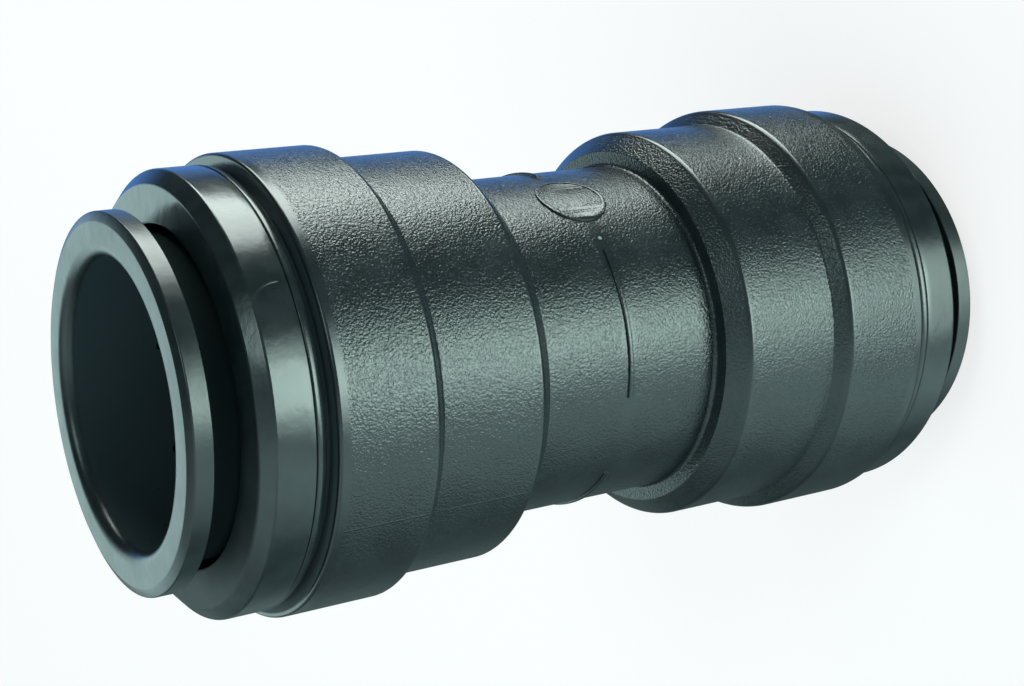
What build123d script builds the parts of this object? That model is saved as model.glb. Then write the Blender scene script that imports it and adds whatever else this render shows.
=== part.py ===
from build123d import *
from math import radians, sin, tan
import os

# Push-in straight connector for plastic tube, in millimetres.
# The tube axis is Z, the origin is the middle of the body, and the part stands on its lower collet.
# The upper half is modelled, and the lower half is its mirror image.

# Tube and the bores round it
tube_diameter = 22.0
collet_play = 0.1
socket_play = 0.15
stop_step = 1.65
stop_half_length = 4.0
stop_rounding = 0.4

# Body: lengths of the steps inside, from the tube stop outwards, and the walls round them
socket_length = 8.2
neck_wall = 2.85
seal_wall = 2.85
mouth_wall = 2.15
shoulder_cover = 3.7
shoulder_chamfer = 1.5
shoulder_rounding = 0.4
neck_rounding = 0.35
step_cover = 0.7
step_rise = 1.0
step_rounding = 0.3
band_rounding = 0.5
mouth_rounding = 0.35
mouth_lead = 0.3

# Broken rib round the middle of the neck, and the round pad between two of its arcs
rib_width = 0.45
rib_height = 0.22
rib_arcs = [(-12.0, 34.0), (66.0, 116.0), (160.0, 196.0)]
pad_diameter = 5.9
pad_height = 0.15
pad_rim = 0.35
pad_angle = 140.5

# Seal ring and spacer washer
seal_section = 3.0
seal_squeeze = 0.1
seal_seat_play = 0.05
seal_end_play = 0.1
washer_tube_play = 0.4
washer_seat_play = 0.1
washer_skirt = 3.6
washer_flange = 1.4
washer_lead = 0.6
washer_rounding = 0.2

# Collet
collet_wall = 1.4
collet_travel = 2.2
pressed_gap = 0.1
finger_gap = 0.4
flange_width = 3.4
flange_thickness = 1.8
flange_bevel_width = 0.75
flange_bevel_height = 0.43
flange_rounding = 0.2
flange_back_rounding = 0.15
bore_rounding = 1.0
finger_count = 8
finger_slot = 0.9
finger_slot_length = 6.4
head_rise = 1.35
head_length = 3.3
head_lead = 0.45
cam_angle = 30.0

# End cap
cap_spigot_length = 7.25
cap_spigot_wall = 1.6
cap_spigot_play = 0.05
cap_end_play = 0.05
cap_step = 0.8
cap_length = 5.5
cap_chamfer = 1.0
cap_edge_rounding = 0.25
cap_rear_gap = 0.4
cap_rear_step = 0.8
cap_rear_rounding = 0.65
cap_hole_play = 0.6
cap_hole_rounding = 0.25
cam_play = 0.3
head_play = 0.35
bead_width = 0.85
bead_groove_width = 0.16
bead_groove_depth = 0.14
snap_height = 0.4
snap_length = 1.5
snap_play = 0.05
snap_from_mouth = 2.4

# Stainless tooth set in each finger
tooth_width = 4.0
tooth_thickness = 0.55
tooth_bite = 0.05
tooth_slope = 25.0
tooth_depth = 2.2
tooth_edge = 0.45
tooth_point = 0.25
tooth_hook = 0.75
tooth_height = 1.2

# Radii that follow
tube_radius = tube_diameter / 2
collet_bore = tube_radius + collet_play
socket_radius = tube_radius + socket_play
stop_radius = socket_radius - stop_step
stem_radius = collet_bore + collet_wall
flange_radius = collet_bore + flange_width
head_radius = stem_radius + head_rise
hole_radius = stem_radius + cap_hole_play
chamber_radius = head_radius + head_play
spigot_radius = chamber_radius + cap_spigot_wall
mouth_bore = spigot_radius + cap_spigot_play
seal_inner_radius = tube_radius - seal_squeeze
seal_outer_radius = seal_inner_radius + seal_section
seal_seat_radius = seal_outer_radius + seal_seat_play
neck_radius = socket_radius + neck_wall
middle_radius = seal_seat_radius + seal_wall
mouth_radius = mouth_bore + mouth_wall
cap_radius = mouth_radius - cap_step

# Heights that follow, from the middle of the body to the collet's face
socket_floor = stop_half_length
seal_floor = socket_floor + socket_length
skirt_bottom = seal_floor + seal_section + 2 * seal_end_play
washer_seat = skirt_bottom + washer_skirt
washer_top = washer_seat + washer_flange
spigot_bottom = washer_top + cap_end_play
body_top = spigot_bottom + cap_spigot_length
cap_top = body_top + cap_length
finger_bottom = washer_top + finger_gap + collet_travel
flange_bottom = cap_top + collet_travel + pressed_gap
collet_top = flange_bottom + flange_thickness
neck_end = seal_floor - shoulder_cover
band_step = washer_seat + step_cover
head_top = finger_bottom + head_length
cam_slope = tan(radians(cam_angle))


def turned(corners):
    """Solid of revolution about Z. A corner is (radius, height) or (radius, height, rounding)."""
    outline = make_face(Plane.XZ * Polyline(*[corner[:2] for corner in corners], close=True))
    for radius, height, rounding in [corner for corner in corners if len(corner) == 3]:
        vertex = outline.vertices().sort_by_distance((radius, 0, height))[0]
        outline = fillet(vertex, rounding)
    return revolve(outline, Axis.Z)


def mirrored_outline(corners):
    """A closed outline from its upper half, which runs from the middle plane back to it."""
    return corners + [(corner[0], -corner[1], *corner[2:]) for corner in reversed(corners)]


def body_rib(start, end):
    """One arc of the rib round the neck, sunk a little into the wall that carries it."""
    root = neck_radius - rib_width
    section = Plane.XZ * Pos((root + neck_radius + rib_height) / 2, 0)
    profile = section * Rectangle(neck_radius + rib_height - root, rib_width)
    return Rot(0, 0, start) * revolve(profile, Axis.Z, end - start)


def body_pad():
    """Round blank pad on the neck, with a raised rim, following the curve of the neck."""
    rim = Circle(pad_diameter / 2) - Circle(pad_diameter / 2 - pad_rim)
    reach = neck_radius + pad_diameter
    skin = Cylinder(neck_radius + pad_height, pad_diameter * 2)
    floor_skin = Cylinder(neck_radius + pad_height / 2, pad_diameter * 2)
    post = Plane.YZ * Circle(pad_diameter / 2 - pad_rim / 2)
    pad = (extrude(Plane.YZ * rim, reach) & skin) + (extrude(post, reach) & floor_skin)
    return Rot(0, 0, pad_angle) * (pad - Cylinder(neck_radius - rib_width, pad_diameter * 2))


def make_body():
    """The moulded body: neck, two bands at each end, and the stepped bores inside them."""
    snap_top = body_top - snap_from_mouth + snap_play
    snap_bottom = body_top - snap_from_mouth - snap_length - snap_play
    snap_radius = mouth_bore + snap_height
    upper = [
        (neck_radius, neck_end, neck_rounding),
        (middle_radius - shoulder_chamfer, neck_end),
        (middle_radius, neck_end + shoulder_chamfer, shoulder_rounding),
        (middle_radius, band_step - step_rise, step_rounding),
        (mouth_radius, band_step, band_rounding),
        (mouth_radius, body_top, mouth_rounding),
        (mouth_bore + mouth_lead, body_top),
        (mouth_bore, body_top - mouth_lead),
        (mouth_bore, snap_top),
        (snap_radius, snap_top),
        (snap_radius, snap_top - snap_height),
        (mouth_bore, snap_bottom),
        (mouth_bore, washer_seat),
        (seal_seat_radius, washer_seat),
        (seal_seat_radius, seal_floor),
        (socket_radius, seal_floor, stop_rounding),
        (socket_radius, socket_floor),
        (stop_radius, socket_floor, stop_rounding),
    ]
    body = turned(mirrored_outline(upper))
    for start, end in rib_arcs:
        body += body_rib(start, end)
    return body + body_pad()


def make_seal_ring():
    """O-ring on its seat, resting just clear of the shoulder below it."""
    middle = seal_inner_radius + seal_section / 2
    ring_height = seal_floor + seal_end_play + seal_section / 2
    return revolve(Plane.XZ * Pos(middle, ring_height) * Circle(seal_section / 2), Axis.Z)


def make_spacer_washer():
    """Top-hat ring that keeps the seal in its seat and is held by the end cap."""
    inner = tube_radius + washer_tube_play
    skirt = seal_seat_radius - washer_seat_play
    flange = mouth_bore - washer_seat_play
    return turned([
        (inner, skirt_bottom),
        (skirt, skirt_bottom, washer_rounding),
        (skirt, washer_seat),
        (flange, washer_seat),
        (flange, washer_top, washer_rounding),
        (inner + washer_lead, washer_top),
        (inner, washer_top - washer_lead),
    ])


def make_end_cap():
    """End cap: visible rim outside, spigot with snap ridge inside, and the cone that closes the collet."""
    rear = body_top + cap_rear_gap
    rear_radius = cap_radius - cap_rear_step
    groove_low = rear + bead_width
    snap_top = body_top - snap_from_mouth
    snap_bottom = snap_top - snap_length
    snap_radius = spigot_radius + snap_height
    cone_foot = head_top + cam_play / sin(radians(cam_angle)) - head_play / cam_slope
    cone_head = cone_foot + (chamber_radius - hole_radius) / cam_slope
    return turned([
        (chamber_radius, spigot_bottom),
        (spigot_radius, spigot_bottom, washer_rounding),
        (spigot_radius, snap_bottom),
        (snap_radius, snap_top - snap_height),
        (snap_radius, snap_top),
        (spigot_radius, snap_top),
        (spigot_radius, body_top),
        (rear_radius, body_top),
        (rear_radius, rear),
        (cap_radius, rear, cap_rear_rounding),
        (cap_radius, groove_low),
        (cap_radius - bead_groove_depth, groove_low + bead_groove_width / 2),
        (cap_radius, groove_low + bead_groove_width),
        (cap_radius, cap_top - cap_chamfer, cap_edge_rounding),
        (cap_radius - cap_chamfer, cap_top, cap_edge_rounding),
        (hole_radius, cap_top, cap_hole_rounding),
        (hole_radius, cone_head),
        (chamber_radius, cone_foot),
    ])


def collet_sleeve():
    """The collet before its slots are cut: flange, stem, and the ring of cam heads at its foot."""
    return turned([
        (collet_bore, finger_bottom),
        (head_radius - head_lead, finger_bottom),
        (head_radius, finger_bottom + head_lead),
        (head_radius, head_top),
        (stem_radius, head_top + head_rise / cam_slope),
        (stem_radius, flange_bottom),
        (flange_radius, flange_bottom, flange_back_rounding),
        (flange_radius, collet_top - flange_bevel_height, flange_rounding),
        (flange_radius - flange_bevel_width, collet_top, flange_rounding),
        (collet_bore, collet_top, bore_rounding),
    ])


def finger_slots():
    """Saw cuts with round ends that part the foot of the collet into fingers."""
    saw = Plane.YZ * Pos(0, finger_bottom + finger_slot_length / 2)
    depth = finger_slot_length + finger_slot
    cut = extrude(saw * Pos(0, -finger_slot / 2) * SlotOverall(depth, finger_slot, 90), head_radius + 1)
    half_step = 180 / finger_count
    return [Rot(0, 0, half_step + 360 * i / finger_count) * cut for i in range(finger_count)]


def tooth_blank():
    """Tooth of the finger on +X, sharpened to a point that runs a little way into the tube's bore."""
    slope = tan(radians(tooth_slope))
    reach = tube_radius - tooth_bite
    foot_radius = reach + tooth_depth
    hook_radius = foot_radius - tooth_thickness

    def under(radius):
        return finger_bottom + tooth_height + (radius - reach) * slope

    point = reach - tooth_point
    face = make_face(Plane.XZ * Polyline(
        (point, under(point)),
        (hook_radius, under(hook_radius)),
        (hook_radius, under(hook_radius) - tooth_hook),
        (foot_radius, under(hook_radius) - tooth_hook),
        (foot_radius, under(foot_radius) + tooth_thickness),
        (reach + tooth_edge, under(reach + tooth_edge) + tooth_thickness),
        close=True))
    return extrude(face, tooth_width / 2, both=True)


def make_teeth():
    """One tooth for each finger, its tip cut to the curve of the tube."""
    bore = Pos(0, 0, finger_bottom) * Cylinder(tube_radius - tooth_bite, 4 * head_length)
    tooth = tooth_blank() - bore
    return [Rot(0, 0, 360 * i / finger_count) * tooth for i in range(finger_count)]


def make_collet():
    """Collet with its slots and a pocket for each tooth."""
    collet = collet_sleeve()
    for slot in finger_slots():
        collet -= slot
    for i in range(finger_count):
        collet -= Rot(0, 0, 360 * i / finger_count) * tooth_blank()
    return collet


def save(name, shape):
    export_step(shape, f"parts/{name}.step")


os.makedirs("parts", exist_ok=True)
save("body", make_body())
upper_pieces = {
    "end_cap": make_end_cap(),
    "collet": make_collet(),
    "seal_ring": make_seal_ring(),
    "spacer_washer": make_spacer_washer(),
}
for number, tooth in enumerate(make_teeth(), start=1):
    upper_pieces[f"grip_tooth_{number}"] = tooth
for name, piece in upper_pieces.items():
    save(f"upper_{name}", piece)
    save(f"lower_{name}", mirror(piece, Plane.XY))
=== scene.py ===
from math import cos, pi, radians, sin, tan

import bmesh
import bpy
from mathutils import Matrix, Vector


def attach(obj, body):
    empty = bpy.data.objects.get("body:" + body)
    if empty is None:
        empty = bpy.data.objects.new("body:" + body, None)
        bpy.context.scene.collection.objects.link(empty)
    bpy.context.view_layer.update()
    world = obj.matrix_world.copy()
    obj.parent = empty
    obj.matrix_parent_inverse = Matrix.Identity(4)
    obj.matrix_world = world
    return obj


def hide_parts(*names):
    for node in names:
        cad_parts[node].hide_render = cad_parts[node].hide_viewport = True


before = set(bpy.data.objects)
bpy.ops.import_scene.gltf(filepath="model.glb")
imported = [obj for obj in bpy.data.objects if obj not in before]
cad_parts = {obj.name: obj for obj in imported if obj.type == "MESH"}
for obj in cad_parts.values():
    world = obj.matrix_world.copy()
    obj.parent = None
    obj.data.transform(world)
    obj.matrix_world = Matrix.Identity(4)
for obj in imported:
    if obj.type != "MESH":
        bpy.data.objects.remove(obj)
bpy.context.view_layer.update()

# Sizes are in millimetres and angles in degrees. The tube axis is Z, and the part stands on its
# lower collet.
MM = 0.001
ROUND_STEPS = 192
CORNER_STEPS = 4
SMOOTH_ANGLE = 32
SAME_PLACE = 0.001
MERGE_DISTANCE = 0.002

# Camera, fitted to the circles of the visible edges
CAMERA_PLACE = (0.0, 130.75, 82.2)
VIEW_RIGHT = Vector((0.15633, 0.51566, -0.84241))
VIEW_UP = Vector((-0.98770, 0.08162, -0.13333))
VIEW_BACK = Vector((0.0, 0.85290, 0.52209))
LENS = 63.94
SENSOR_WIDTH = 36

# Radii of the body, its bores and the pieces in them
NECK_RADIUS = 14.0
MIDDLE_RADIUS = 16.8
MOUTH_RADIUS = 18.0
MOUTH_BORE = 15.85
SEAT_RADIUS = 13.95
SOCKET_RADIUS = 11.15
STOP_RADIUS = 9.5
CAP_RADIUS = 17.2
CAP_HOLE = 13.1
COLLET_BORE = 11.1
COLLET_STEM = 12.5
FLANGE_RADIUS = 14.5
HEAD_RADIUS = 13.85

# Heights above the middle of the body
STOP_END = 4.0
NECK_END = 8.5
SHOULDER_END = 10.0
BAND_STEP = 19.7
SEAL_FLOOR = 12.2
WASHER_SEAT = 19.0
FINGER_BOTTOM = 23.0
HEAD_TOP = 26.3
BODY_TOP = 27.7
CAP_FACE = 33.05
FLANGE_BOTTOM = 35.5
COLLET_TOP = 37.3

# Rib and pad on the neck
RIB_WIDTH = 0.45
RIB_HEIGHT = 0.19
RIB_ROUNDING = 0.13
RIB_ARCS = [(-12, 34), (66, 116), (160, 196)]
RIB_STEP = 1.5
PAD_ANGLE = 140.5
PAD_RADIUS = 2.95
PAD_RIM = 0.35
PAD_HEIGHT = 0.15
PAD_BEVEL = 0.045
PAD_BEVEL_ANGLE = 40
PAD_STEPS = 96
POST_LENGTH = 3
TRIM_LENGTH = 12

# Slots and tooth pockets in the collet
FINGERS = 8
SLOT_WIDTH = 0.9
SLOT_TOP = 29.4
SLOT_ROUNDING = 0.49 * SLOT_WIDTH
SLOT_STEPS = 8
CUTTER_MARGIN = 1
TOOTH_WIDTH = 4.0
TOOTH_OUTLINE = [
    (10.70, 24.083), (12.60, 24.969), (12.60, 24.219),
    (13.15, 24.219), (13.15, 25.776), (11.40, 24.960),
]

# Seal ring
SEAL_RADIUS = 12.4
SEAL_HEIGHT = 13.8
SEAL_THICKNESS = 3.0
SEAL_STEPS = 40

# Finishes
ACETAL_IOR = 1.48
# Greyer tone painted into bores and crevices as painted light
PAINTED_FILL_GREY = (0.034, 0.046, 0.052, 1)
CHIP_ANGLE = 120.7
CHIP_HEIGHT = -0.07

# Studio
SIDE_LIGHT = (0.74, 1.0, 0.93)
PALE_WALL = (0.70, 1.0, 1.0, 1)
BLUE_WALL = (0.09, 0.34, 1.0, 1)
WHITE = (1, 1, 1, 1)
FLOOR_SIZE = 6


# Modelling

def start_edit(piece):
    """Selects one piece alone and opens it in edit mode with nothing selected."""
    select_only(piece)
    bpy.ops.object.mode_set(mode="EDIT")
    bpy.ops.mesh.select_mode(type="VERT")
    bpy.ops.mesh.select_all(action="DESELECT")


def select_only(*pieces):
    bpy.ops.object.select_all(action="DESELECT")
    for piece in pieces:
        piece.select_set(True)
    bpy.context.view_layer.objects.active = pieces[0]


def pick_points(test):
    """Selects, in edit mode, the points whose place in millimetres passes the test."""
    shape = bmesh.from_edit_mesh(bpy.context.edit_object.data)
    for point in shape.verts:
        point.select = test(point.co / MM)
    shape.select_flush_mode()
    bmesh.update_edit_mesh(bpy.context.edit_object.data)


def pick_edges(test):
    """Selects, in edit mode, the edges whose two ends in millimetres pass the test."""
    bpy.ops.mesh.select_mode(type="EDGE")
    shape = bmesh.from_edit_mesh(bpy.context.edit_object.data)
    for edge in shape.edges:
        edge.select = test(*[point.co / MM for point in edge.verts])
    bmesh.update_edit_mesh(bpy.context.edit_object.data)


def draw_outline(name, corners):
    """Draws a closed line in the XZ plane through corners of (radius, height, rounding)."""
    bpy.ops.object.select_all(action="DESELECT")
    bpy.ops.mesh.primitive_plane_add(size=MM, location=(0, 0, 0), enter_editmode=True)
    piece = bpy.context.object
    piece.name = name
    bpy.ops.mesh.merge(type="CENTER")
    places = [Vector((corner[0], 0, corner[1])) for corner in corners]
    bpy.ops.transform.translate(value=places[0] * MM)
    for previous, place in zip(places, places[1:]):
        bpy.ops.mesh.extrude_region_move(TRANSFORM_OT_translate={"value": (place - previous) * MM})
    ends = places[0], places[-1]
    pick_points(lambda co: min((co - end).length for end in ends) < SAME_PLACE)
    bpy.ops.mesh.edge_face_add()
    for number, corner in enumerate(corners):
        if len(corner) == 3:
            round_corner(places, number, corner[2])
    return piece


def round_corner(places, number, rounding):
    """Rounds one corner of a drawn line to the given radius."""
    place = places[number]
    before = places[number - 1] - place
    after = places[(number + 1) % len(places)] - place
    turn = pi - before.angle(after)
    pick_points(lambda co: (co - place).length < SAME_PLACE)
    bpy.ops.mesh.bevel(
        offset=rounding * MM * tan(turn / 2), segments=CORNER_STEPS, profile=0.5,
        affect="VERTICES")


def spin_about_tube(steps, degrees):
    """Spins the whole drawn section about the tube axis, from +X towards +Y."""
    bpy.ops.mesh.select_all(action="SELECT")
    bpy.ops.mesh.spin(steps=steps, angle=-radians(degrees), center=(0, 0, 0), axis=(0, 0, 1))


def close_shape():
    """Merges doubled points, turns all faces outwards and leaves edit mode."""
    bpy.ops.mesh.select_all(action="SELECT")
    bpy.ops.mesh.remove_doubles(threshold=MERGE_DISTANCE * MM)
    bpy.ops.mesh.normals_make_consistent(inside=False)
    bpy.ops.object.mode_set(mode="OBJECT")


def smooth(piece):
    """Shades the piece smooth, with the normals of large faces kept true beside small roundings."""
    select_only(piece)
    bpy.ops.object.shade_smooth_by_angle(angle=radians(SMOOTH_ANGLE))
    modifier = piece.modifiers.new("true faces", "WEIGHTED_NORMAL")
    modifier.mode = "FACE_AREA"
    modifier.weight = 100
    modifier.keep_sharp = True
    bpy.ops.object.modifier_apply(modifier=modifier.name)


def turned(name, corners):
    """A turned piece from half its section."""
    piece = draw_outline(name, corners)
    spin_about_tube(ROUND_STEPS, 360)
    close_shape()
    return piece


def combine(piece, tool, operation):
    """Cuts or joins a piece with a tool, which is used up."""
    select_only(piece)
    modifier = piece.modifiers.new("shape", "BOOLEAN")
    modifier.object = tool
    modifier.operation = operation
    modifier.solver = "EXACT"
    bpy.ops.object.modifier_apply(modifier=modifier.name)
    bpy.data.objects.remove(tool)


def lower_copy(piece, name):
    """The same piece for the lower end, with its own mesh, mirrored in the middle plane."""
    select_only(piece)
    bpy.ops.object.duplicate()
    copy = bpy.context.object
    copy.name = name
    start_edit(copy)
    bpy.ops.mesh.select_all(action="SELECT")
    bpy.ops.transform.resize(value=(1, 1, -1), center_override=(0, 0, 0))
    bpy.ops.mesh.normals_make_consistent(inside=False)
    bpy.ops.object.mode_set(mode="OBJECT")
    return copy


def mirrored(corners):
    """Closes an outline below the middle plane."""
    return corners + [(corner[0], -corner[1], *corner[2:]) for corner in reversed(corners)]


# Body

def make_rib(start, end):
    """One arc of the thin rib round the neck, with rounded edges and ends sunk into the wall."""
    root = NECK_RADIUS - RIB_WIDTH
    top = NECK_RADIUS + RIB_HEIGHT
    half = RIB_WIDTH / 2
    rib = draw_outline("rib", [
        (root, -half), (top, -half, RIB_ROUNDING), (top, half, RIB_ROUNDING), (root, half)])
    bpy.ops.mesh.select_all(action="SELECT")
    bpy.ops.mesh.edge_face_add()
    bpy.ops.transform.rotate(value=-radians(start), orient_axis="Z", center_override=(0, 0, 0))
    spin_about_tube(round((end - start) / RIB_STEP), end - start)
    close_shape()
    return rib


def neck_skin(radius):
    """A round bar on the tube axis that trims what stands on the neck to its curve."""
    bpy.ops.object.select_all(action="DESELECT")
    bpy.ops.mesh.primitive_cylinder_add(
        vertices=2 * ROUND_STEPS, radius=radius * MM, depth=TRIM_LENGTH * MM)
    return bpy.context.object


def pad_post(radius):
    """A round post that stands out of the neck where the pad is."""
    bpy.ops.object.select_all(action="DESELECT")
    angle = radians(PAD_ANGLE)
    outward = Vector((cos(angle), sin(angle), 0))
    bpy.ops.mesh.primitive_cylinder_add(
        vertices=PAD_STEPS, radius=radius * MM, depth=POST_LENGTH * MM,
        location=outward * NECK_RADIUS * MM, rotation=(0, pi / 2, angle))
    bpy.ops.object.transform_apply()
    return bpy.context.object


def make_pad():
    """The round blank pad with a raised rim, trimmed to the curve of the neck."""
    pad = pad_post(PAD_RADIUS)
    combine(pad, neck_skin(NECK_RADIUS + PAD_HEIGHT), "INTERSECT")
    recess = pad_post(PAD_RADIUS - PAD_RIM)
    combine(recess, neck_skin(NECK_RADIUS + PAD_HEIGHT / 2), "DIFFERENCE")
    combine(pad, recess, "DIFFERENCE")
    modifier = pad.modifiers.new("edges", "BEVEL")
    modifier.width = PAD_BEVEL * MM
    modifier.segments = 2
    modifier.limit_method = "ANGLE"
    modifier.angle_limit = radians(PAD_BEVEL_ANGLE)
    select_only(pad)
    bpy.ops.object.modifier_apply(modifier=modifier.name)
    return pad


def make_body():
    upper = [
        (NECK_RADIUS, NECK_END, 0.35),
        (15.3, NECK_END, 0.12),
        (MIDDLE_RADIUS, SHOULDER_END, 0.45),
        (MIDDLE_RADIUS, 18.7, 0.3),
        (MOUTH_RADIUS, BAND_STEP, 0.5),
        (MOUTH_RADIUS, BODY_TOP, 0.27),
        (MOUTH_BORE + 0.3, BODY_TOP, 0.08),
        (MOUTH_BORE, BODY_TOP - 0.3),
        # groove for the cap's snap ring
        (MOUTH_BORE, 25.35),
        (16.25, 25.35),
        (16.25, 24.95),
        (MOUTH_BORE, 23.75),
        (MOUTH_BORE, WASHER_SEAT),
        (SEAT_RADIUS, WASHER_SEAT, 0.08),
        (SEAT_RADIUS, SEAL_FLOOR),
        (SOCKET_RADIUS, SEAL_FLOOR, 0.4),
        (SOCKET_RADIUS, STOP_END),
        (STOP_RADIUS, STOP_END, 0.4),
    ]
    body = turned("connector_body", mirrored(upper))
    details = [make_rib(start, end) for start, end in RIB_ARCS]
    details.append(make_pad())
    select_only(body, *details)
    bpy.ops.object.join()
    return body


# End caps, collets and what is inside

def make_cap():
    return turned("upper_cap", [
        (14.2, 20.45),
        (15.8, 20.45, 0.2),
        # snap ring with its lead-in
        (15.8, 23.8),
        (16.2, 24.9),
        (16.2, 25.3),
        (15.8, 25.3),
        (15.8, BODY_TOP),
        # rim with its bead
        (16.4, BODY_TOP),
        (16.4, 28.1),
        (CAP_RADIUS, 28.1, 0.66),
        (CAP_RADIUS, 28.95, 0.08),
        (CAP_RADIUS - 0.14, 29.03),
        (CAP_RADIUS - 0.03, 29.11, 0.05),
        (CAP_RADIUS, 29.66),
        (CAP_RADIUS, CAP_FACE - 0.93, 0.3),
        (CAP_RADIUS - 1.05, CAP_FACE, 0.35),
        (CAP_HOLE, CAP_FACE, 0.25),
        # cam that closes the fingers
        (CAP_HOLE, 28.2),
        (14.2, 26.294),
    ])


def slot_cutters():
    """Bars with round ends that cut the slots between the fingers, and don't cross each other."""
    bpy.ops.object.select_all(action="DESELECT")
    near = COLLET_BORE - CUTTER_MARGIN
    far = HEAD_RADIUS + CUTTER_MARGIN
    low = FINGER_BOTTOM - CUTTER_MARGIN
    bpy.ops.mesh.primitive_cube_add(
        size=MM, location=((near + far) / 2 * MM, 0, (low + SLOT_TOP) / 2 * MM),
        scale=(far - near, SLOT_WIDTH, SLOT_TOP - low))
    bpy.ops.object.transform_apply()
    slots = bpy.context.object
    start_edit(slots)
    pick_edges(lambda one, other: (
        min(one.z, other.z) > SLOT_TOP - SAME_PLACE and abs(one.x - other.x) > SLOT_WIDTH))
    bpy.ops.mesh.bevel(offset=SLOT_ROUNDING * MM, segments=SLOT_STEPS, profile=0.5, affect="EDGES")
    bpy.ops.mesh.select_mode(type="VERT")
    bpy.ops.mesh.select_all(action="SELECT")
    bpy.ops.transform.rotate(
        value=-radians(180 / FINGERS), orient_axis="Z", center_override=(0, 0, 0))
    copy_round(FINGERS)
    bpy.ops.object.mode_set(mode="OBJECT")
    return slots


def pocket_cutters():
    """Blanks that cut the tooth pockets out of the fingers."""
    pockets = draw_outline("pockets", TOOTH_OUTLINE)
    bpy.ops.mesh.select_all(action="SELECT")
    bpy.ops.mesh.edge_face_add()
    bpy.ops.transform.translate(value=(0, -TOOTH_WIDTH / 2 * MM, 0))
    bpy.ops.mesh.extrude_region_move(TRANSFORM_OT_translate={"value": (0, TOOTH_WIDTH * MM, 0)})
    bpy.ops.mesh.select_all(action="SELECT")
    bpy.ops.mesh.normals_make_consistent(inside=False)
    copy_round(FINGERS)
    bpy.ops.object.mode_set(mode="OBJECT")
    return pockets


def copy_round(count):
    """Repeats what is selected round the tube axis."""
    bpy.ops.mesh.spin(
        steps=count, dupli=True, angle=2 * pi, center=(0, 0, 0), axis=(0, 0, 1))
    bpy.ops.mesh.select_all(action="SELECT")
    bpy.ops.mesh.remove_doubles(threshold=MERGE_DISTANCE * MM)


def make_collet():
    collet = turned("upper_release_collet", [
        (COLLET_BORE, FINGER_BOTTOM),
        # finger heads with their cam
        (13.4, FINGER_BOTTOM),
        (HEAD_RADIUS, 23.45),
        (HEAD_RADIUS, HEAD_TOP),
        (COLLET_STEM, 28.638),
        # stem and flange
        (COLLET_STEM, FLANGE_BOTTOM, 0.12),
        (FLANGE_RADIUS, FLANGE_BOTTOM, 0.12),
        (FLANGE_RADIUS, COLLET_TOP - 0.32, 0.15),
        (FLANGE_RADIUS - 0.75, COLLET_TOP, 0.3),
        (COLLET_BORE, COLLET_TOP, 1.0),
    ])
    for cutter in (slot_cutters(), pocket_cutters()):
        combine(collet, cutter, "DIFFERENCE")
    return collet


def make_seal():
    """The O-ring on its seat, just clear of the shoulder below it."""
    bpy.ops.object.select_all(action="DESELECT")
    bpy.ops.mesh.primitive_circle_add(
        vertices=SEAL_STEPS, radius=SEAL_THICKNESS / 2 * MM,
        location=(SEAL_RADIUS * MM, 0, SEAL_HEIGHT * MM), rotation=(pi / 2, 0, 0))
    bpy.ops.object.transform_apply()
    seal = bpy.context.object
    seal.name = "upper_seal"
    start_edit(seal)
    spin_about_tube(ROUND_STEPS, 360)
    close_shape()
    return seal


def make_washer():
    return turned("upper_washer", [
        (11.4, 15.4, 0.1),
        (13.85, 15.4, 0.2),
        (13.85, WASHER_SEAT),
        (15.75, WASHER_SEAT, 0.08),
        (15.75, 20.4, 0.2),
        (12.0, 20.4, 0.1),
        (11.4, 19.8, 0.1),
    ])


# Shader maths

class Signal:
    """An output socket whose sums become Math nodes."""

    def __init__(self, graph, socket):
        self.graph = graph
        self.socket = socket

    def maths(self, operation, *values):
        return self.graph.add("Math", {"operation": operation}, dict(enumerate(values)))

    def __add__(self, other):
        return self.maths("ADD", self, other)

    def __sub__(self, other):
        return self.maths("SUBTRACT", self, other)

    def __mul__(self, other):
        return self.maths("MULTIPLY", self, other)

    def __lt__(self, other):
        return self.maths("LESS_THAN", self, other)

    def __gt__(self, other):
        return self.maths("GREATER_THAN", self, other)

    def __abs__(self):
        return self.maths("ABSOLUTE", self)

    def at_least(self, other):
        return self.maths("MAXIMUM", self, other)

    def at_most(self, other):
        return self.maths("MINIMUM", self, other)

    def angle_from(self, other):
        return self.maths("ARCTAN2", self, other)

    def length_with(self, other):
        return self.maths("SQRT", self * self + other * other)

    __radd__ = __add__
    __rmul__ = __mul__

    def ramp(self, low, high, start=0.0, end=1.0):
        """Goes smoothly from start to end while this value goes from low to high."""
        return self.graph.add(
            "MapRange", {"interpolation_type": "SMOOTHSTEP"},
            {"Value": self, "From Min": low, "From Max": high, "To Min": start, "To Max": end})

    def ramp_mm(self, low, high, start=0.0, end=1.0):
        """The same for a length, with low and high in millimetres."""
        return self.ramp(low * MM, high * MM, start, end)


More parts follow.
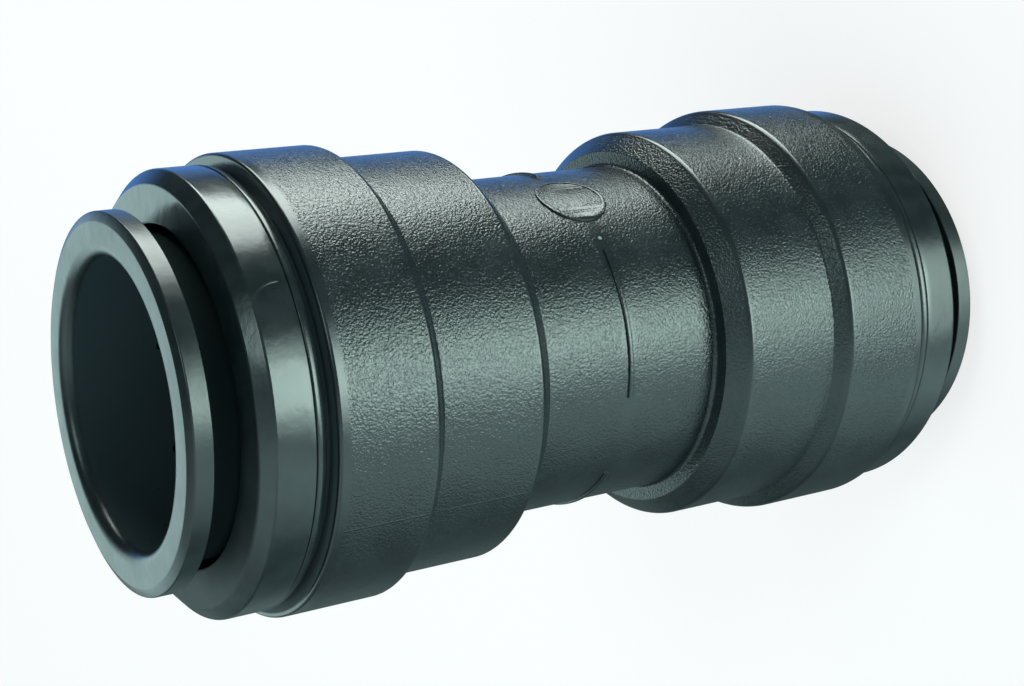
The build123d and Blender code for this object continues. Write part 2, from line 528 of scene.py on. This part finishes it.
class Graph:
    """The node tree of a material or the world."""

    def __init__(self, tree):
        self.tree = tree
        tree.nodes.clear()

    def add(self, kind, settings=None, inputs=None, output=0):
        """Adds a node: its settings first, then the values or links of its sockets."""
        node = self.tree.nodes.new("ShaderNode" + kind)
        for name, value in (settings or {}).items():
            setattr(node, name, value)
        for name, value in (inputs or {}).items():
            if isinstance(value, Signal):
                self.tree.links.new(value.socket, node.inputs[name])
            else:
                node.inputs[name].default_value = value
        return Signal(self, node.outputs[output])

    def finish(self, kind, shader):
        """Links the last shader to the output node."""
        output = self.tree.nodes.new("ShaderNodeOutput" + kind)
        self.tree.links.new(shader.socket, output.inputs["Surface"])

    def mix_colors(self, amount, first, second):
        return self.add(
            "Mix", {"data_type": "RGBA"}, {"Factor": amount, 6: first, 7: second}, output=2)

    def noise(self, place, per_mm, detail=2.0, roughness=0.5, distortion=0.0):
        """Noise with so many patches in a millimetre."""
        inputs = {
            "Vector": place, "Scale": per_mm / MM, "Detail": detail, "Roughness": roughness,
            "Distortion": distortion}
        return self.add("TexNoise", {}, inputs)


def new_material(name):
    material = bpy.data.materials.new(name)
    material.use_nodes = True
    return material, Graph(material.node_tree)


def place_on(graph):
    """Object coordinates of the surface, whole and as three numbers in metres."""
    place = graph.add("TexCoord", output="Object")
    axes = [graph.add("SeparateXYZ", {}, {"Vector": place}, output=axis) for axis in "XYZ"]
    return place, *axes


def black_tone(graph, mottle, painted_fill, dark, light):
    """Mottled black pigment, mixed towards a greyer tone as painted light on walls in bores and
    crevices where little light reaches.
    """
    worn = graph.mix_colors(mottle.ramp(0.35, 0.65), dark, light)
    return graph.mix_colors(painted_fill, worn, PAINTED_FILL_GREY)


def on_neck(angle, height):
    """A place on the wall of the neck, in metres."""
    turn = radians(angle)
    return Vector((NECK_RADIUS * cos(turn), NECK_RADIUS * sin(turn), height)) * MM


def grained_acetal():
    """Black acetal with a fine grain outside, wiped at the edges, and smooth bores inside."""
    material, graph = new_material("grained_acetal")
    place, x, y, z = place_on(graph)
    radius = x.length_with(y)
    height = abs(z)
    outside = radius.ramp_mm(13.6, 13.9)
    pad = radians(PAD_ANGLE)
    across = y * cos(pad) - x * sin(pad)
    # Far away on the other side of the neck, so that the pad is there only once
    other_side = 0.1 * ((x * cos(pad) + y * sin(pad)) < 0)
    from_pad = across.length_with(z) + other_side
    on_pad = from_pad.ramp_mm(PAD_RADIUS - 0.4, PAD_RADIUS + 0.1, 0.6, 1.0)
    near_rib = height.ramp_mm(0.2, 1.0, 0.5, 1.0)
    plain_lip = height.ramp_mm(26.6, 27.05, 1.0, 0.06)
    grained = outside * on_pad * near_rib * plain_lip
    for edge in (SHOULDER_END, BAND_STEP):
        grained = grained * abs(height - edge * MM).ramp_mm(0.12, 0.35, 0.15, 1.0)

    def parting_line(angle, low, high):
        side = abs(y * cos(radians(angle)) - x * sin(radians(angle)))
        return side.ramp_mm(0.10, 0.03) * (z > low * MM) * (z < high * MM)

    parting = parting_line(50.9, 20.0, 27.0) + parting_line(47.0, 10.3, 18.6)
    pits = graph.noise(place, 5.2, detail=1.5, roughness=0.5, distortion=0.4)
    swell = graph.noise(place, 1.2, detail=1.0)
    mottle = graph.noise(place, 0.35, detail=3.0)
    relief = (pits - 0.5) * grained + 0.15 * swell + 0.3 * parting
    bump = graph.add("Bump", {}, {"Strength": 1.0, "Distance": 0.06 * MM, "Height": relief})

    # Painted light: the mouth face by the cap, the bores and the inner walls are mixed towards a
    # greyer tone that stands in for light which barely reaches them.
    in_mouth = height.ramp_mm(27.5, 27.6) * radius.ramp_mm(17.7, 17.5) * 0.6
    in_bore = radius.ramp_mm(15.95, 15.85) * (height > 10.5 * MM)
    painted_fill = in_mouth.at_least(in_bore).at_least(radius.ramp_mm(13.6, 13.5))
    tone = black_tone(
        graph, mottle, painted_fill, (0.006, 0.0085, 0.010, 1), (0.009, 0.0127, 0.0142, 1))
    from_chip = graph.add(
        "VectorMath", {"operation": "DISTANCE"},
        {0: place, 1: on_neck(CHIP_ANGLE, CHIP_HEIGHT)}, output="Value")
    tone = graph.mix_colors(from_chip.ramp_mm(0.2, 0.12), tone, (0.20, 0.22, 0.21, 1))
    roughness = 0.22 + 0.08 * mottle + 0.7 * in_mouth * x.ramp_mm(2, 10)
    shader = graph.add("BsdfPrincipled", {}, {
        "Base Color": tone, "Roughness": roughness, "IOR": ACETAL_IOR, "Normal": bump})
    graph.finish("Material", shader)
    return material


def smooth_acetal(graph, place, painted_fill, gloss, haze, marks=0.0, dull=0.0):
    """A shader of black acetal from a polished mould, with the faint waves of thick mouldings."""
    waves = graph.noise(place, 0.7, detail=2.0)
    peel = graph.noise(place, 3.5, detail=2.0)
    mottle = graph.noise(place, 0.5, detail=3.0)
    relief = waves + 0.25 * peel + marks
    bump = graph.add("Bump", {}, {"Strength": 1.0, "Distance": 0.02 * MM, "Height": relief})
    tone = black_tone(
        graph, mottle, painted_fill, (0.0063, 0.009, 0.0102, 1), (0.010, 0.0137, 0.0148, 1))
    roughness = gloss + haze * mottle + dull
    return graph.add("BsdfPrincipled", {}, {
        "Base Color": tone, "Roughness": roughness, "IOR": ACETAL_IOR, "Normal": bump})


def cap_acetal():
    """The caps' finish: a scratch on the upper rim, and faces dulled where fingers press."""
    material, graph = new_material("polished_acetal")
    place, x, y, z = place_on(graph)
    radius = x.length_with(y)
    height = abs(z)
    # Painted light: the rim inside the body and the hole's wall are mixed towards a greyer tone
    # that stands in for light which barely reaches them.
    behind_rim = height.ramp_mm(28.25, 28.05)
    painted_fill = behind_rim.at_least(radius.ramp_mm(13.35, 13.15))
    # The scratch is a piece of a circle on the unrolled rim
    rim_way = (y.angle_from(x) - radians(109)) * (CAP_RADIUS * MM)
    bend = (rim_way + 1.35 * MM).length_with(z - 29.85 * MM)
    scratch = abs(bend - 2.58 * MM).ramp_mm(0.07, 0.02)
    scratch = scratch * (rim_way > -0.1 * MM) * (rim_way < 1.4 * MM)
    scratch = scratch * (z > 29.8 * MM) * (z < 32.15 * MM)
    pressed = height.ramp_mm(32.9, 33.0) * x.ramp_mm(-1.0, 7.0)
    graph.finish("Material", smooth_acetal(
        graph, place, painted_fill, 0.17, 0.12, marks=-0.5 * scratch, dull=0.4 * pressed))
    return material


def collet_acetal():
    """The collets' finish, with a greyer tone painted into the bore as painted light, and the stem
    painted matt near-black as painted shade behind the flange.
    """
    material, graph = new_material("satin_acetal")
    place, x, y, z = place_on(graph)
    radius = x.length_with(y)
    # Painted light: the bore is mixed towards a greyer tone that stands in for light which barely
    # reaches it.
    bore = radius.ramp_mm(11.8, 11.6) * abs(z).ramp_mm(36.6, 36.2)
    stem = radius.ramp_mm(12.7, 12.6) * (radius > 12.4 * MM) * (abs(z) < 35.4 * MM)
    shader = smooth_acetal(graph, place, bore, 0.24, 0.14)
    # Painted shade: the stem behind the flange is mixed into a matt near-black diffuse that stands
    # in for the flange's shade.
    painted_shade_matt = graph.add("BsdfDiffuse", {}, {"Color": (0.012, 0.016, 0.017, 1)})
    graph.finish("Material", graph.add("MixShader", {}, {"Fac": stem, 1: shader, 2: painted_shade_matt}))
    return material


def washer_acetal():
    """Dark acetal with fine turning-like flow rings."""
    material, graph = new_material("washer_acetal")
    place = place_on(graph)[0]
    rings = graph.add("TexWave", {"bands_direction": "Z"}, {
        "Vector": place, "Scale": 0.9 / MM, "Distortion": 3.0, "Detail": 2.0})
    mottle = graph.noise(place, 0.6, detail=3.0)
    bump = graph.add("Bump", {}, {"Strength": 0.4, "Distance": 0.02 * MM, "Height": rings + mottle})
    tone = graph.mix_colors(
        mottle.ramp(0.3, 0.7), (0.020, 0.023, 0.024, 1), (0.034, 0.037, 0.038, 1))
    roughness = 0.34 + 0.12 * mottle
    shader = graph.add("BsdfPrincipled", {}, {
        "Base Color": tone, "Roughness": roughness, "IOR": ACETAL_IOR, "Normal": bump})
    graph.finish("Material", shader)
    return material


def nitrile_rubber():
    """Black rubber with a thin uneven film of grease and its mould's flash line."""
    material, graph = new_material("nitrile_rubber")
    place, _, _, z = place_on(graph)
    film = graph.noise(place, 0.8, detail=3.0)
    skin = graph.noise(place, 9.0, detail=2.0)
    flash = abs(abs(z) - SEAL_HEIGHT * MM).ramp_mm(0.02, 0.09, 1.0, 0.0)
    height = skin + 2.0 * flash
    bump = graph.add("Bump", {}, {"Strength": 0.6, "Distance": 0.02 * MM, "Height": height})
    tone = graph.mix_colors(
        film.ramp(0.3, 0.7), (0.012, 0.012, 0.013, 1), (0.020, 0.020, 0.021, 1))
    roughness = film.ramp(0.35, 0.65, 0.28, 0.62)
    shader = graph.add("BsdfPrincipled", {}, {
        "Base Color": tone, "Roughness": roughness, "IOR": 1.5, "Normal": bump})
    graph.finish("Material", shader)
    return material


def stainless():
    """Stamped spring steel with rolling marks."""
    material, graph = new_material("stainless")
    place = place_on(graph)[0]
    stretched = graph.add("Mapping", {}, {"Vector": place, "Scale": (1, 1, 14)})
    marks = graph.noise(stretched, 1.5, detail=4.0)
    haze = graph.noise(place, 1.2, detail=2.0)
    bump = graph.add("Bump", {}, {"Strength": 0.3, "Distance": 0.01 * MM, "Height": marks})
    tone = graph.mix_colors(marks, (0.50, 0.50, 0.48, 1), (0.68, 0.68, 0.66, 1))
    roughness = 0.22 + 0.16 * haze
    shader = graph.add("BsdfPrincipled", {}, {
        "Base Color": tone, "Metallic": 1.0, "Roughness": roughness, "Normal": bump})
    graph.finish("Material", shader)
    return material


# Studio

def add_lamp(name, right, up, back, distance, width, height, power, color):
    """A soft lamp whose direction from the part is given as the camera sees it."""
    toward = (VIEW_RIGHT * right + VIEW_UP * up + VIEW_BACK * back).normalized()
    side = (VIEW_RIGHT - toward * VIEW_RIGHT.dot(toward)).normalized()
    turn = Matrix((side, toward.cross(side), toward)).transposed()
    bpy.ops.object.light_add(type="AREA", location=toward * distance, rotation=turn.to_euler())
    lamp = bpy.context.object
    lamp.name = name
    lamp.data.shape = "RECTANGLE"
    lamp.data.size = width
    lamp.data.size_y = height
    lamp.data.energy = power
    lamp.data.color = color
    lamp.visible_camera = False


def add_world():
    """Dim studio: a pale table below, a blue wall behind, and plain white for the camera."""
    world = bpy.data.worlds.new("studio")
    bpy.context.scene.world = world
    world.use_nodes = True
    graph = Graph(world.node_tree)
    direction = graph.add("TexCoord", output="Generated")

    def along(vector):
        return graph.add(
            "VectorMath", {"operation": "DOT_PRODUCT"},
            {0: direction, 1: tuple(vector)}, output="Value")

    right, up, back = along(VIEW_RIGHT), along(VIEW_UP), along(VIEW_BACK)
    leftwards = (-1.4 * right - 0.70).at_most(0.0)
    sideways = (1.8 * right - 0.95).at_least(leftwards).at_least(-0.25)
    reach = back.at_most(0.5) + sideways
    far_end = back.ramp(-0.50, -0.85) * right.ramp(0.35, -0.05) * 0.18
    table = up.ramp(-0.10, -0.60) * (reach.ramp(-0.55, 0.95, 0.10, 2.3) + far_end)
    room = back.ramp(0.5, 0.95, 0.08, 0.38)
    behind = right.ramp(-0.45, -0.70) * back.ramp(-0.2, -0.5) * up.ramp(0.35, 0.05) * 2.3
    rim = up.ramp(0.0, 0.25) * up.ramp(0.95, 0.70) * (back + 0.25 * right).ramp(-0.71, -0.90)
    surround = graph.add(
        "Background", {}, {"Color": PALE_WALL, "Strength": table + room + behind})
    blue = graph.add("Background", {}, {"Color": BLUE_WALL, "Strength": rim * 1.05})
    both = graph.add("AddShader", {}, {0: surround, 1: blue})
    white = graph.add("Background", {}, {"Color": WHITE, "Strength": 1.0})
    camera_ray = graph.add("LightPath", output="Is Camera Ray")
    graph.finish("World", graph.add("MixShader", {}, {"Fac": camera_ray, 1: both, 2: white}))


def add_floor():
    """White table top that shows the part's shadow but isn't mirrored in its polished walls."""
    bpy.ops.object.select_all(action="DESELECT")
    bpy.ops.mesh.primitive_plane_add(size=FLOOR_SIZE, location=(0, 0, -COLLET_TOP * MM))
    floor = bpy.context.object
    floor.name = "floor"
    material, graph = new_material("table_top")
    cloth = graph.add("BsdfDiffuse", {}, {"Color": (0.82, 0.82, 0.82, 1)})
    glow = graph.add("Emission", {}, {"Color": WHITE, "Strength": 0.72})
    camera_ray = graph.add("LightPath", output="Is Camera Ray")
    lit = graph.add("BsdfDiffuse", {}, {"Color": (0.40, 0.34, 0.34, 1)})
    shown = graph.add("AddShader", {}, {0: glow, 1: lit})
    graph.finish("Material", graph.add("MixShader", {}, {"Fac": camera_ray, 1: cloth, 2: shown}))
    floor.data.materials.append(material)
    floor.visible_glossy = False
    floor.visible_shadow = False


def add_camera():
    bpy.ops.object.camera_add(location=Vector(CAMERA_PLACE) * MM)
    camera = bpy.context.object
    turn = Matrix((VIEW_RIGHT, VIEW_UP, VIEW_BACK)).transposed()
    camera.rotation_euler = turn.to_euler()
    camera.data.sensor_width = SENSOR_WIDTH
    camera.data.lens = LENS
    camera.data.clip_start = 0.01
    bpy.context.scene.camera = camera


# Putting the connector together

def dress(piece, material, body, node):
    """Gives a modelled piece its finish, its body and the solid that it stands for."""
    piece.data.materials.clear()
    piece.data.materials.append(material)
    smooth(piece)
    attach(piece, body)
    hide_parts(node)


grained = grained_acetal()
cap_finish = cap_acetal()
collet_finish = collet_acetal()
dark = washer_acetal()
rubber = nitrile_rubber()
steel = stainless()

dress(make_body(), grained, "housing", "body")
for make, kind, material, slot, slides in [
    (make_cap, "end_cap", cap_finish, "smooth_acetal", False),
    (make_collet, "collet", collet_finish, "smooth_acetal", True),
    (make_seal, "seal_ring", rubber, "nitrile", False),
    (make_washer, "spacer_washer", dark, "washer_acetal", False),
]:
    upper = make()
    lower = lower_copy(upper, upper.name.replace("upper", "lower"))
    for end, piece in [("upper", upper), ("lower", lower)]:
        dress(piece, material, f"{end}_release" if slides else "housing", f"{end}_{kind}")

for name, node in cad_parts.items():
    if "grip_tooth" in name:
        node.data.materials.clear()
        node.data.materials.append(steel)

add_camera()
add_world()
add_floor()
# Direction right, up and back, then distance, width, height, power and colour
add_lamp("overhead_softbox", -0.06, 0.95, -0.155, 0.60, 0.51, 0.36, 6.9, (0.87, 1.0, 0.95))
add_lamp("side_softbox", 0.89, 0.06, 0.43, 0.60, 0.46, 0.43, 3.4, SIDE_LIGHT)
add_lamp("side_lamp", 0.84, 0.06, 0.53, 0.58, 0.26, 0.24, 1.7, SIDE_LIGHT)
add_lamp("small_window", -0.60, 0.15, 0.79, 0.60, 0.15, 0.16, 0.58, (0.72, 1.0, 0.97))

bpy.context.scene.view_settings.view_transform = "Standard"
